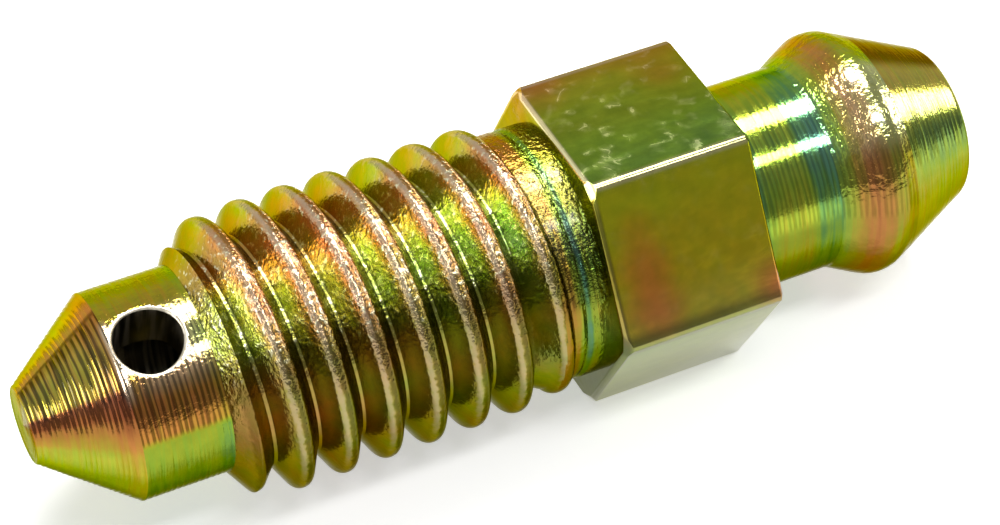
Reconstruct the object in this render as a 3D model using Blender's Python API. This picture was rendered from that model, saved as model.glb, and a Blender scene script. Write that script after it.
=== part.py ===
"""Bleeder screw of a hydraulic brake, a single steel part that is turned, thread-rolled and drilled.

It lies on one flat of its hexagon, as it would on a bench. +X runs along the screw from the seat cone
to the hose nipple, +Z is up, and the origin lies on the bench below the middle of the screw's length.
"""

import math

import bmesh
import bpy
from mathutils import Matrix, Vector

MM = 0.001

# Seat cone and plain nose
TIP_DIAMETER = 2.10 * MM
TIP_ROUNDING = 0.10 * MM
CONE_LENGTH = 2.33 * MM
NOSE_LENGTH = 2.40 * MM
NOSE_EDGE_ROUNDING = 0.08 * MM

# Rolled right-hand thread, M8 x 1.25, and the unrolled shank behind it
THREAD_DIAMETER = 7.80 * MM
THREAD_DEPTH = 0.78 * MM
THREAD_PITCH = 1.25 * MM
THREAD_LENGTH = 8.92 * MM
THREAD_CREST_WIDTH = 0.30 * MM
THREAD_CREST_ROUNDING = 0.24 * MM
THREAD_ROOT_WIDTH = 0.10 * MM
THREAD_START_ANGLE = math.radians(57.0)
THREAD_START_HEIGHT = 0.15
THREAD_START_TURNS = 1.6
THREAD_RUN_OUT_TURNS = 0.70
THREAD_RUN_OUT_HEIGHT = 0.45
THREAD_TURN_OFFSET = math.radians(85.0)
ROOT_RISE_LENGTH = 0.70 * MM
SHANK_LENGTH = 1.51 * MM
SHANK_BELOW_CREST = 0.36 * MM
NOSE_BELOW_ROOT = 0.27 * MM

# Hexagon for an 8 mm spanner
HEX_ACROSS_FLATS = 7.92 * MM
HEX_LENGTH = 4.70 * MM
HEX_EDGE_BEVEL = 0.10 * MM

# Neck and hose barb
NECK_DIAMETER = 5.82 * MM
NECK_LENGTH = 2.84 * MM
NECK_CORNER_ROUNDING = 0.20 * MM
BARB_DIAMETER = 7.24 * MM
BARB_RISE_LENGTH = 1.37 * MM
BARB_TAPER_LENGTH = 3.03 * MM
BARB_ROUNDING = 0.88 * MM
NIPPLE_END_DIAMETER = 4.38 * MM
NIPPLE_END_ROUNDING = 0.30 * MM

# Drillings: a blind bore from the nipple's end, and one hole in the nose that opens into it
BORE_DIAMETER = 2.40 * MM
DRILL_POINT_ANGLE = math.radians(118.0)
CROSS_HOLE_DIAMETER = 1.80 * MM
CROSS_HOLE_FROM_CONE = 0.97 * MM
CROSS_HOLE_ANGLE = math.radians(112.0)

# Overlap of shapes that are joined, and excess length of the drills
OVERLAP = 0.06 * MM
DRILL_EXCESS = 1.0 * MM

# Fineness of the round shapes
TURN_STEPS = 44
ARC_STEP = math.radians(15.0)
THREAD_ARC_STEP = math.radians(31.0)
SMOOTH_BELOW = math.radians(35.0)

# Places along the screw, measured from the tip
CONE_END = CONE_LENGTH
NOSE_END = CONE_END + NOSE_LENGTH
THREAD_END = NOSE_END + THREAD_LENGTH
HEX_START = THREAD_END + SHANK_LENGTH
HEX_END = HEX_START + HEX_LENGTH
NECK_END = HEX_END + NECK_LENGTH
BARB_PEAK = NECK_END + BARB_RISE_LENGTH
NIPPLE_END = BARB_PEAK + BARB_TAPER_LENGTH
CROSS_HOLE_X = CONE_END + CROSS_HOLE_FROM_CONE

# Radii that follow the thread: its root, the unrolled shank, and the nose that clears the tapped hole
THREAD_RADIUS = THREAD_DIAMETER / 2
ROOT_RADIUS = THREAD_RADIUS - THREAD_DEPTH
SHANK_RADIUS = THREAD_RADIUS - SHANK_BELOW_CREST
NOSE_RADIUS = ROOT_RADIUS - NOSE_BELOW_ROOT

# The screw's axis, with the tip at its start
AXIS_START = Vector((-NIPPLE_END / 2, 0, HEX_ACROSS_FLATS / 2))


def rounded_profile(corners, arc_step=ARC_STEP):
    """Points of an outline from (x, radius, rounding) corners, with an arc at each rounded corner."""
    points = []
    for index, (x, radius, rounding) in enumerate(corners):
        corner = Vector((x, radius))
        if rounding == 0:
            points.append(corner)
            continue
        back = Vector(corners[index - 1][:2]) - corner
        ahead = Vector(corners[index + 1][:2]) - corner
        half_angle = back.angle(ahead) / 2
        run = min(rounding / math.tan(half_angle), 0.45 * back.length, 0.45 * ahead.length)
        arc_radius = run * math.tan(half_angle)
        start = corner + back.normalized() * run
        middle_way = (back.normalized() + ahead.normalized()).normalized()
        centre = corner + middle_way * arc_radius / math.sin(half_angle)
        turn = math.pi - 2 * half_angle
        if back.x * ahead.y - back.y * ahead.x > 0:
            turn = -turn
        steps = max(1, math.ceil(abs(turn) / arc_step))
        for step in range(steps + 1):
            points.append(centre + Matrix.Rotation(turn * step / steps, 2) @ (start - centre))
    return points


def new_object(name, shape, smooth=True):
    """An object from a bmesh, its faces pointing out, placed with the screw's tip at AXIS_START."""
    bmesh.ops.recalc_face_normals(shape, faces=shape.faces)
    mesh = bpy.data.meshes.new(name)
    shape.to_mesh(mesh)
    shape.free()
    if smooth:
        mesh.shade_smooth()
        mesh.set_sharp_from_angle(angle=SMOOTH_BELOW)
    made = bpy.data.objects.new(name, mesh)
    made.location = AXIS_START
    bpy.context.scene.collection.objects.link(made)
    return made


def turned(name, profile):
    """A solid of revolution about X. Its profile starts and ends on the axis."""
    shape = bmesh.new()
    points = [shape.verts.new((point.x, point.y, 0)) for point in profile]
    edges = [shape.edges.new(pair) for pair in zip(points, points[1:])]
    bmesh.ops.spin(
        shape,
        geom=points + edges,
        cent=(0, 0, 0),
        axis=(1, 0, 0),
        angle=2 * math.pi,
        steps=TURN_STEPS,
        use_merge=True,
    )
    bmesh.ops.remove_doubles(shape, verts=shape.verts, dist=0.001 * MM)
    return new_object(name, shape)


def helper(made):
    """Marks a shape that only joins or cuts the screw, so that it isn't shown itself."""
    made.hide_render = True
    made.display_type = "WIRE"
    return made


def turned_blank():
    """The turned blank: seat cone, nose, thread core, shank, neck and hose barb in one outline."""
    neck = NECK_DIAMETER / 2
    root_start = NOSE_END + NOSE_BELOW_ROOT / math.tan(THREAD_START_ANGLE)
    hex_middle = (HEX_START + HEX_END) / 2
    corners = [
        (0, 0, 0),
        (0, TIP_DIAMETER / 2, TIP_ROUNDING),
        (CONE_END, NOSE_RADIUS, NOSE_EDGE_ROUNDING),
        (NOSE_END, NOSE_RADIUS, 0),
        (root_start, ROOT_RADIUS, 0),
        (THREAD_END - ROOT_RISE_LENGTH, ROOT_RADIUS, 0),
        (THREAD_END, SHANK_RADIUS, 0),
        (hex_middle, SHANK_RADIUS, 0),
        (hex_middle, neck, 0),
        (NECK_END, neck, NECK_CORNER_ROUNDING),
        (BARB_PEAK, BARB_DIAMETER / 2, BARB_ROUNDING),
        (NIPPLE_END, NIPPLE_END_DIAMETER / 2, NIPPLE_END_ROUNDING),
        (NIPPLE_END, 0, 0),
    ]
    return turned("bleeder_screw", rounded_profile(corners))


def thread_section():
    """One thread ridge cut along the axis: (place along the axis, radius) points, foot to foot."""
    half_foot = (THREAD_PITCH - THREAD_ROOT_WIDTH) / 2
    half_crest = THREAD_CREST_WIDTH / 2
    flare = OVERLAP * (half_foot - half_crest) / THREAD_DEPTH
    foot = half_foot + flare
    inside = NOSE_RADIUS - 4 * OVERLAP
    outline = rounded_profile(
        [
            (-foot, ROOT_RADIUS - OVERLAP, 0),
            (-half_crest, THREAD_RADIUS, THREAD_CREST_ROUNDING),
            (half_crest, THREAD_RADIUS, THREAD_CREST_ROUNDING),
            (foot, ROOT_RADIUS - OVERLAP, 0),
        ],
        THREAD_ARC_STEP,
    )
    return [Vector((-foot, inside)), *outline, Vector((foot, inside))]


def thread_height(turns_done, turns_left):
    """Share of the full thread height: it grows over the first turns and falls over the run-out."""
    rise = THREAD_START_HEIGHT + (1 - THREAD_START_HEIGHT) * turns_done / THREAD_START_TURNS
    fall = THREAD_RUN_OUT_HEIGHT + (1 - THREAD_RUN_OUT_HEIGHT) * turns_left / THREAD_RUN_OUT_TURNS
    return min(1, rise, fall)


def thread_ridge():
    """The right-hand helical ridge, cut back by the chamfer at the nose and sunk in the core."""
    section = thread_section()
    nose_inside = NOSE_RADIUS - OVERLAP
    first = NOSE_END + section[0].x
    last = THREAD_END + THREAD_RUN_OUT_TURNS * THREAD_PITCH
    turns = (last - first) / THREAD_PITCH
    steps = math.ceil(turns * TURN_STEPS)
    shape = bmesh.new()
    before = None
    for step in range(steps + 1):
        turned_by = turns * step / steps
        centre = first + THREAD_PITCH * turned_by
        angle = THREAD_TURN_OFFSET + 2 * math.pi * (centre - NOSE_END) / THREAD_PITCH
        height = thread_height(turned_by, turns - turned_by)
        ring = []
        for along, radius in section:
            x = centre + along
            chamfer = nose_inside + max(0, x - NOSE_END) * math.tan(THREAD_START_ANGLE)
            raised = min(radius, ROOT_RADIUS + (radius - ROOT_RADIUS) * height)
            reach = min(raised, chamfer)
            ring.append(shape.verts.new((x, reach * math.cos(angle), reach * math.sin(angle))))
        if before is None:
            shape.faces.new(ring)
        else:
            for index, corner in enumerate(ring):
                after = (index + 1) % len(ring)
                shape.faces.new((before[index], before[after], ring[after], corner))
        before = ring
    shape.faces.new(before)
    return helper(new_object("thread_ridge", shape))


def hexagon():
    """The spanner hexagon with lightly bevelled edges, one flat down."""
    shape = bmesh.new()
    across_corners = HEX_ACROSS_FLATS / math.cos(math.radians(30))
    bmesh.ops.create_cone(
        shape,
        cap_ends=True,
        segments=6,
        radius1=across_corners / 2,
        radius2=across_corners / 2,
        depth=HEX_LENGTH,
    )
    bmesh.ops.bevel(
        shape,
        geom=shape.edges[:],
        offset=HEX_EDGE_BEVEL,
        segments=2,
        profile=0.5,
        affect="EDGES",
    )
    along_x = Matrix.Rotation(math.radians(90), 4, "Y")
    middle = Matrix.Translation(((HEX_START + HEX_END) / 2, 0, 0))
    bmesh.ops.transform(shape, matrix=middle @ along_x, verts=shape.verts)
    return helper(new_object("spanner_hexagon", shape, smooth=False))


def axial_bore():
    """The blind bore's drill, from beyond the nipple's end to just past the cross hole."""
    radius = BORE_DIAMETER / 2
    bottom = CROSS_HOLE_X - CROSS_HOLE_DIAMETER / 2
    point = bottom - radius / math.tan(DRILL_POINT_ANGLE / 2)
    outline = [(point, 0), (bottom, radius), (NIPPLE_END + DRILL_EXCESS, radius)]
    outline.append((NIPPLE_END + DRILL_EXCESS, 0))
    return helper(turned("axial_bore", [Vector(corner) for corner in outline]))


def cross_hole():
    """The drill of the outlet in the nose: it enters from one side and stops on the bore's axis."""
    depth = NOSE_RADIUS + DRILL_EXCESS
    shape = bmesh.new()
    bmesh.ops.create_cone(
        shape,
        cap_ends=True,
        segments=TURN_STEPS // 2,
        radius1=CROSS_HOLE_DIAMETER / 2,
        radius2=CROSS_HOLE_DIAMETER / 2,
        depth=depth,
    )
    outward = Matrix.Rotation(CROSS_HOLE_ANGLE - math.radians(90), 4, "X")
    place = Matrix.Translation((CROSS_HOLE_X, 0, 0))
    bmesh.ops.transform(
        shape, matrix=place @ outward @ Matrix.Translation((0, 0, depth / 2)), verts=shape.verts
    )
    return helper(new_object("cross_hole", shape))


def plated_steel():
    """Zinc-plated steel with a yellow chromate finish."""
    material = bpy.data.materials.new("yellow_zinc_plated_steel")
    material.use_nodes = True
    surface = material.node_tree.nodes["Principled BSDF"]
    surface.inputs["Base Color"].default_value = (0.50, 0.44, 0.14, 1)
    surface.inputs["Metallic"].default_value = 1.0
    surface.inputs["Roughness"].default_value = 0.25
    return material


def combine(screw, other, operation):
    """Joins another shape to the screw, or cuts it from the screw."""
    step = screw.modifiers.new(f"{operation.lower()} {other.name}", "BOOLEAN")
    step.operation = operation
    step.solver = "EXACT"
    step.object = other


def build():
    for old in list(bpy.data.objects):
        bpy.data.objects.remove(old)
    screw = turned_blank()
    screw.data.materials.append(plated_steel())
    combine(screw, thread_ridge(), "UNION")
    combine(screw, hexagon(), "UNION")
    combine(screw, axial_bore(), "DIFFERENCE")
    combine(screw, cross_hole(), "DIFFERENCE")


build()
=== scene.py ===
import math
import random
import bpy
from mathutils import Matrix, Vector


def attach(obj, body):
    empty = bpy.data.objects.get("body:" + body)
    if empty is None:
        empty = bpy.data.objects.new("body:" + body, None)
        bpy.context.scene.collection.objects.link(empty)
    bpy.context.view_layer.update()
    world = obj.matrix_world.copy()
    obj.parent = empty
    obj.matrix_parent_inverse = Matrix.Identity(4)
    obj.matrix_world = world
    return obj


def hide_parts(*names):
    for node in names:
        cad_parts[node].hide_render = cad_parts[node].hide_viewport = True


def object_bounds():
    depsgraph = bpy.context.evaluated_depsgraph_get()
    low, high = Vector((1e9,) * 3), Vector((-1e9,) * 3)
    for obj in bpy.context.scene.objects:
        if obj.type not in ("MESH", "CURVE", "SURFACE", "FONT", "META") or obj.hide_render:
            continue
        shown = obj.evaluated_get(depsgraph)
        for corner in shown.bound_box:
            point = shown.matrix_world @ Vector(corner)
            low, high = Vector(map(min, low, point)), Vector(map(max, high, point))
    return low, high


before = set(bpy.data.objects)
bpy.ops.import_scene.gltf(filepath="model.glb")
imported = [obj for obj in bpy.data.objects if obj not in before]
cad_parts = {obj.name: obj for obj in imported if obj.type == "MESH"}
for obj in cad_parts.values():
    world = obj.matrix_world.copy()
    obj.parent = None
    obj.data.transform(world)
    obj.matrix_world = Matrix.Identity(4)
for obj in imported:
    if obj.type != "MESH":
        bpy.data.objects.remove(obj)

from types import SimpleNamespace

import bpy
from mathutils import Matrix, Vector

cad_low, cad_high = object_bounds()

# Turned blank. The screw starts as hexagon bar of free-cutting steel, and an automatic lathe turns
# the seat cone, the nose, the thread's core, the shank, the neck and the hose barb in one pass.
# The tool's feed leaves fine rings, and zinc plating with a yellow chromate film covers it all.

MM = 0.001
TURN_STEPS = 144
ARC_STEP = math.radians(9)
LONGEST_ARC_SHARE = 0.45
MERGE_DISTANCE = 0.00002 * MM
SPUN_MERGE_DISTANCE = 0.0005 * MM

TIP_RADIUS = 1.05 * MM
TIP_ROUNDING = 0.10 * MM
CONE_END = 2.33 * MM
NOSE_RADIUS = 2.85 * MM
NOSE_END = 4.73 * MM
NOSE_EDGE_ROUNDING = 0.09 * MM
START_CHAMFER = math.radians(57.0)
CORE_RADIUS = 3.10 * MM
CORE_RISE = 0.70 * MM
THREAD_END = 13.65 * MM
SHANK_RADIUS = 3.54 * MM
SHANK_START_ROUNDING = 0.3 * MM
SHANK_GROOVE = 14.52 * MM
SHANK_GROOVE_WIDTH = 0.13 * MM
SHANK_GROOVE_DEPTH = 0.045 * MM
SHANK_GROOVE_ROUNDING = 0.05 * MM
HEX_START = 15.16 * MM
HEX_END = 19.86 * MM
NECK_RADIUS = 2.91 * MM
NECK_END = 22.70 * MM
NECK_CORNER_ROUNDING = 0.22 * MM
BARB_RADIUS = 3.62 * MM
BARB_PEAK = 24.07 * MM
BARB_ROUNDING = 0.88 * MM
NIPPLE_END = 27.10 * MM
NIPPLE_END_RADIUS = 2.19 * MM
NIPPLE_END_ROUNDING = 0.30 * MM

# Each groove of the feed as shares of one feed's length and of the groove's depth.
GROOVE_SHAPE = ((0.0, 0.0), (0.33, 1.0), (0.67, 1.0))
SHALLOWEST_GROOVE = 0.25
FEED_SEED = 4

# The screw's axis runs along +X from its tip, at half the hexagon's width over the floor.
AXIS_START = Vector((cad_low.x, 0, (cad_low.z + cad_high.z) / 2))


def rounded(corners, arc_step=ARC_STEP):
    """Points of an outline from (x, radius, rounding) corners, with an arc at each rounded one."""
    points = []
    for index, (x, radius, rounding) in enumerate(corners):
        corner = Vector((x, radius))
        if rounding == 0:
            points.append(corner)
            continue
        back = Vector(corners[index - 1][:2]) - corner
        ahead = Vector(corners[index + 1][:2]) - corner
        half_angle = back.angle(ahead) / 2
        shorter_side = min(back.length, ahead.length)
        run = min(rounding / math.tan(half_angle), LONGEST_ARC_SHARE * shorter_side)
        arc_radius = run * math.tan(half_angle)
        start = corner + back.normalized() * run
        middle_way = (back.normalized() + ahead.normalized()).normalized()
        centre = corner + middle_way * arc_radius / math.sin(half_angle)
        turn = math.pi - 2 * half_angle
        if back.x * ahead.y - back.y * ahead.x > 0:
            turn = -turn
        steps = max(1, math.ceil(abs(turn) / arc_step))
        for step in range(steps + 1):
            points.append(centre + Matrix.Rotation(turn * step / steps, 2) @ (start - centre))
    return points


def with_feed_marks(points, first, last, feed, depth, draws):
    """The outline with shallow turned grooves between two places along the screw."""
    slack = feed / 9
    marked = []
    for before, after in zip(points, points[1:]):
        marked.append(before)
        run = after - before
        inside = first - slack <= before.x and after.x <= last + slack
        if not inside or run.length < 2 * feed:
            continue
        outward = Vector((-run.y, run.x)).normalized()
        grooves = max(1, round(run.length / feed))
        for groove in range(grooves):
            cut = depth * draws.uniform(SHALLOWEST_GROOVE, 1.0)
            for share, part in GROOVE_SHAPE:
                if groove + share > 0:
                    place = before + run * (groove + share) / grooves
                    marked.append(place - outward * cut * part)
    marked.append(points[-1])
    return marked


def draw_outline(name, points):
    """Edges drawn through (x, radius) points by extruding one vertex, upright over the axis."""
    bpy.ops.object.select_all(action="DESELECT")
    bpy.ops.mesh.primitive_plane_add(size=MM, location=(0, 0, 0))
    drawn = bpy.context.object
    drawn.name = name
    drawn.data.name = name
    bpy.ops.object.mode_set(mode="EDIT")
    bpy.ops.mesh.select_mode(type="VERT")
    bpy.ops.mesh.select_all(action="SELECT")
    bpy.ops.mesh.merge(type="CENTER")
    bpy.ops.transform.translate(value=(points[0].x, 0, points[0].y))
    for before, after in zip(points, points[1:]):
        step = (after.x - before.x, 0, after.y - before.y)
        bpy.ops.mesh.extrude_vertices_move(TRANSFORM_OT_translate={"value": step})
    bpy.ops.object.mode_set(mode="OBJECT")
    return drawn


def close_and_face_outward(piece, merge_distance=MERGE_DISTANCE):
    """Merges doubled points and turns every face outward."""
    bpy.ops.object.select_all(action="DESELECT")
    piece.select_set(True)
    bpy.context.view_layer.objects.active = piece
    bpy.ops.object.mode_set(mode="EDIT")
    bpy.ops.mesh.select_all(action="SELECT")
    bpy.ops.mesh.remove_doubles(threshold=merge_distance)
    bpy.ops.mesh.normals_make_consistent(inside=False)
    bpy.ops.object.mode_set(mode="OBJECT")


def turn_outline(name, points, steps=TURN_STEPS):
    """A turned solid: an outline that starts and ends on the axis, spun once round X."""
    turned = draw_outline(name, points)
    bpy.ops.object.mode_set(mode="EDIT")
    bpy.ops.mesh.select_all(action="SELECT")
    bpy.ops.mesh.spin(steps=steps, angle=2 * math.pi, center=(0, 0, 0), axis=(1, 0, 0))
    bpy.ops.object.mode_set(mode="OBJECT")
    close_and_face_outward(turned, SPUN_MERGE_DISTANCE)
    return turned


# The shank and the neck meet unseen in the middle of the hexagon, which goes over them below.
hex_middle = (HEX_START + HEX_END) / 2
core_start = NOSE_END + (CORE_RADIUS - NOSE_RADIUS) / math.tan(START_CHAMFER)
blank_outline = rounded(
    [
        (0, 0, 0),
        (0, TIP_RADIUS, TIP_ROUNDING),
        (CONE_END, NOSE_RADIUS, NOSE_EDGE_ROUNDING),
        (NOSE_END, NOSE_RADIUS, 0),
        (core_start, CORE_RADIUS, 0),
        (THREAD_END - CORE_RISE, CORE_RADIUS, 0),
        (THREAD_END, SHANK_RADIUS, SHANK_START_ROUNDING),
        (SHANK_GROOVE - SHANK_GROOVE_WIDTH, SHANK_RADIUS, SHANK_GROOVE_ROUNDING),
        (SHANK_GROOVE, SHANK_RADIUS - SHANK_GROOVE_DEPTH, SHANK_GROOVE_ROUNDING),
        (SHANK_GROOVE + SHANK_GROOVE_WIDTH, SHANK_RADIUS, SHANK_GROOVE_ROUNDING),
        (hex_middle, SHANK_RADIUS, 0),
        (hex_middle, NECK_RADIUS, 0),
        (HEX_END, NECK_RADIUS, 0),
        (NECK_END, NECK_RADIUS, NECK_CORNER_ROUNDING),
        (BARB_PEAK, BARB_RADIUS, BARB_ROUNDING),
        (NIPPLE_END, NIPPLE_END_RADIUS, NIPPLE_END_ROUNDING),
        (NIPPLE_END, 0, 0),
    ]
)
feed_rings = random.Random(FEED_SEED)
for start, end, feed, deepest in (
    (0, CONE_END, 0.145 * MM, 0.018 * MM),
    (CONE_END, NOSE_END, 0.16 * MM, 0.009 * MM),
    (HEX_END, NECK_END, 0.13 * MM, 0.007 * MM),
    (BARB_PEAK, NIPPLE_END - NIPPLE_END_ROUNDING / 2, 0.15 * MM, 0.006 * MM),
):
    blank_outline = with_feed_marks(blank_outline, start, end, feed, deepest, feed_rings)
screw = turn_outline("yellow_zinc_bleeder_screw", blank_outline)


def add_node(tree, kind, inputs=None, **settings):
    """A node with its settings, its input values and the links that come into it."""
    made = tree.nodes.new(kind)
    for name, value in settings.items():
        setattr(made, name, value)
    for name, value in (inputs or {}).items():
        if isinstance(value, bpy.types.NodeSocket):
            tree.links.new(value, made.inputs[name])
        else:
            made.inputs[name].default_value = value
    return made


def math_node(tree, operation, *values):
    """The result of one sum on values or sockets."""
    inputs = dict(enumerate(values))
    return add_node(tree, "ShaderNodeMath", inputs, operation=operation).outputs[0]


def product(tree, result, *factors):
    """All the values multiplied."""
    for factor in factors:
        result = math_node(tree, "MULTIPLY", result, factor)
    return result


def scaled(tree, value, factor, offset):
    """The value times the factor, plus the offset."""
    return math_node(tree, "MULTIPLY_ADD", value, factor, offset)


def distance(tree, value, middle):
    """How far the value lies from the middle, to either side."""
    return math_node(tree, "ABSOLUTE", math_node(tree, "SUBTRACT", value, middle))


def fade(tree, value, start, end, low=0.0, high=1.0):
    """A smooth step from low to high as the value goes from start to end."""
    inputs = {"Value": value, "From Min": start, "From Max": end, "To Min": low, "To Max": high}
    step = add_node(tree, "ShaderNodeMapRange", inputs, interpolation_type="SMOOTHSTEP")
    return step.outputs["Result"]


def ramp(tree, value, stops, smooth="EASE"):
    """A colour ramp over (place, colour or grey) stops."""
    made = add_node(tree, "ShaderNodeValToRGB", {"Fac": value})
    elements = made.color_ramp.elements
    made.color_ramp.interpolation = smooth
    while len(elements) < len(stops):
        elements.new(1.0)
    for element, (at, colour) in zip(elements, stops):
        element.position = at
        element.color = (*colour, 1) if isinstance(colour, tuple) else (colour, colour, colour, 1)
    return made.outputs["Color"]


def ramp_round(tree, turn_share, stops):
    """A ramp with its stops by degrees from straight up, -180 to 180, positive to the front."""
    return ramp(tree, turn_share, [((degrees + 180) / 360, level) for degrees, level in stops])


def noise(tree, place, scale, detail, distortion=0.0):
    """Smooth noise about a middle of 0.5, with this many patches to a millimetre."""
    inputs = {"Vector": place, "Scale": scale, "Detail": detail, "Distortion": distortion}
    return add_node(tree, "ShaderNodeTexNoise", inputs).outputs["Fac"]


def stretched(tree, place, factors):
    """The place with its three parts each multiplied by their own factor."""
    inputs = {0: place, 1: factors}
    return add_node(tree, "ShaderNodeVectorMath", inputs, operation="MULTIPLY").outputs[0]


def mix_colours(tree, share, first, second):
    """The first colour, with this share of the second."""
    inputs = {"Factor": share, 6: first, 7: second}
    return add_node(tree, "ShaderNodeMix", inputs, data_type="RGBA").outputs[2]


def bump(tree, height, depth, under=None):
    """The normal of a rough surface of this height and depth, over another where there is one."""
    inputs = {"Height": height, "Distance": depth}
    if under is not None:
        inputs["Normal"] = under
    return add_node(tree, "ShaderNodeBump", inputs).outputs["Normal"]


def locate(tree, place):
    """The place by its length along X, its height, and its angle about X from straight up."""
    ways = add_node(tree, "ShaderNodeSeparateXYZ", {"Vector": place}).outputs
    angle = math_node(tree, "ARCTAN2", product(tree, ways["Y"], -1.0), ways["Z"])
    return SimpleNamespace(
        along=ways["X"],
        up=ways["Z"],
        angle=angle,
        degrees=product(tree, angle, 180 / math.pi),
        turn_share=scaled(tree, angle, 1 / (2 * math.pi), 0.5),
    )


def blank_group(name, sockets_in, sockets_out):
    """A new shader node group with its named inputs, their default values and its outputs."""
    group = bpy.data.node_groups.new(name, "ShaderNodeTree")
    for socket, value in sockets_in.items():
        kind = "NodeSocketVector" if value is None else "NodeSocketFloat"
        made = group.interface.new_socket(name=socket, in_out="INPUT", socket_type=kind)
        if value is not None:
            made.default_value = value
    for socket, kind in sockets_out.items():
        group.interface.new_socket(name=socket, in_out="OUTPUT", socket_type=kind)
    return group, add_node(group, "NodeGroupInput").outputs, add_node(group, "NodeGroupOutput")


def use_group(tree, group, inputs):
    """One use of a node group in a finish."""
    return add_node(tree, "ShaderNodeGroup", inputs, node_tree=group).outputs


# The chromate film is so thin that its colour turns with its thickness, from teal and green
# through olive and gold to orange and red-brown. Tone picks the colour, Spread lets it drift in
# broad and close patches, so many to a millimetre, and Wear bares the zinc. Shade scales the
# colour: the finishes feed it painted shade and painted light. Wear also carries painted
# highlights, as pale bare zinc where the soft boxes shine.
BROAD_PATCHES, BROAD_DRIFT = 0.55, 2.4
CLOSE_PATCHES, CLOSE_DRIFT = 2.4, 1.4
MOTTLE = 0.44
BARE_ZINC = (0.78, 0.62, 0.44, 1)
FILM_COLOURS = (
    (0.00, (0.10, 0.36, 0.25)),
    (0.12, (0.12, 0.35, 0.08)),
    (0.25, (0.28, 0.47, 0.025)),
    (0.38, (0.38, 0.45, 0.014)),
    (0.50, (0.46, 0.36, 0.014)),
    (0.62, (0.52, 0.27, 0.022)),
    (0.74, (0.58, 0.21, 0.035)),
    (0.87, (0.42, 0.11, 0.018)),
    (1.00, (0.34, 0.07, 0.018)),
)
film, film_in, film_out = blank_group(
    "chromate_film",
    {"Place": None, "Tone": 0.4, "Spread": 0.1, "Shade": 1.0, "Wear and Highlight": 0.0},
    {"Color": "NodeSocketColor"},
)
broad_patches = noise(film, film_in["Place"], BROAD_PATCHES, detail=1.0)
close_patches = noise(film, film_in["Place"], CLOSE_PATCHES, detail=4.0)
drift = math_node(
    film,
    "ADD",
    scaled(film, broad_patches, BROAD_DRIFT, -BROAD_DRIFT / 2),
    scaled(film, close_patches, CLOSE_DRIFT, -CLOSE_DRIFT / 2),
)
film_tone = scaled(film, drift, film_in["Spread"], film_in["Tone"])
film_colour = ramp(film, film_tone, FILM_COLOURS, "LINEAR")
worn_and_highlit = mix_colours(film, film_in["Wear and Highlight"], film_colour, BARE_ZINC)
film_shade = product(film, scaled(film, close_patches, MOTTLE, 1 - MOTTLE / 2), film_in["Shade"])
shaded = add_node(
    film, "ShaderNodeVectorMath", {0: worn_and_highlit, "Scale": film_shade}, operation="SCALE"
)
film.links.new(shaded.outputs["Vector"], film_out.inputs["Color"])

# Turned rings: fine lines that run round the screw, each a little deeper or shallower.
RINGS_PER_MM = 9.0
FEED_MM = 0.15
FEED_WANDER = 1.2
ROUND_STRETCH = (1.0, 0.06, 0.06)
STREAK_NOISE = (0.35, 0.65)
GROOVE_WAVE = (-0.6, 0.8)
rings, rings_in, rings_out = blank_group(
    "turned_rings",
    {"Place": None, "Rings": RINGS_PER_MM, "Feed": FEED_MM},
    {"Height": "NodeSocketFloat", "Streak": "NodeSocketFloat", "Grooves": "NodeSocketFloat"},
)
drawn_round = stretched(rings, rings_in["Place"], ROUND_STRETCH)
ring_noise = noise(rings, drawn_round, rings_in["Rings"], detail=2.0)
ring_place = add_node(rings, "ShaderNodeSeparateXYZ", {"Vector": rings_in["Place"]}).outputs["X"]
feeds = math_node(rings, "DIVIDE", ring_place, rings_in["Feed"])
feeds = scaled(rings, ring_noise, FEED_WANDER, feeds)
wave = math_node(rings, "SINE", product(rings, feeds, 2 * math.pi))
rings.links.new(ring_noise, rings_out.inputs["Height"])
rings.links.new(fade(rings, ring_noise, *STREAK_NOISE), rings_out.inputs["Streak"])
rings.links.new(fade(rings, wave, *GROOVE_WAVE), rings_out.inputs["Grooves"])

# Grain: the matt, pitted texture that rolling and tumbling leave, which breaks highlights up.
GRAINS_PER_MM = 12.0
PIT_NOISE = (0.55, 0.72)
tumbled, grain_in, grain_out = blank_group(
    "tumbled_grain",
    {"Place": None, "Grains": GRAINS_PER_MM},
    {"Height": "NodeSocketFloat", "Pits": "NodeSocketFloat"},
)
grain_noise = noise(tumbled, grain_in["Place"], grain_in["Grains"], detail=3.0)
tumbled.links.new(grain_noise, grain_out.inputs["Height"])
tumbled.links.new(fade(tumbled, grain_noise, *PIT_NOISE), grain_out.inputs["Pits"])

METAL_TINT = (0.45, 0.42, 0.12, 1)
COAT_INDEX = 1.5
COAT_ROUGHNESS = 0.06


def start_finish(name):
    """A coated metal, with the place on the screw in millimetres, measured from its tip."""
    finish = bpy.data.materials.new(name)
    finish.use_nodes = True
    tree = finish.node_tree
    metal = tree.nodes["Principled BSDF"].inputs
    metal["Metallic"].default_value = 1.0
    metal["Specular Tint"].default_value = METAL_TINT
    metal["Coat Roughness"].default_value = COAT_ROUGHNESS
    metal["Coat IOR"].default_value = COAT_INDEX
    inputs = {
        "Vector": add_node(tree, "ShaderNodeTexCoord").outputs["Object"],
        "Location": tuple(-AXIS_START / MM),
        "Scale": (1 / MM, 1 / MM, 1 / MM),
    }
    place = add_node(tree, "ShaderNodeMapping", inputs).outputs["Vector"]
    return finish, tree, metal, place


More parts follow.
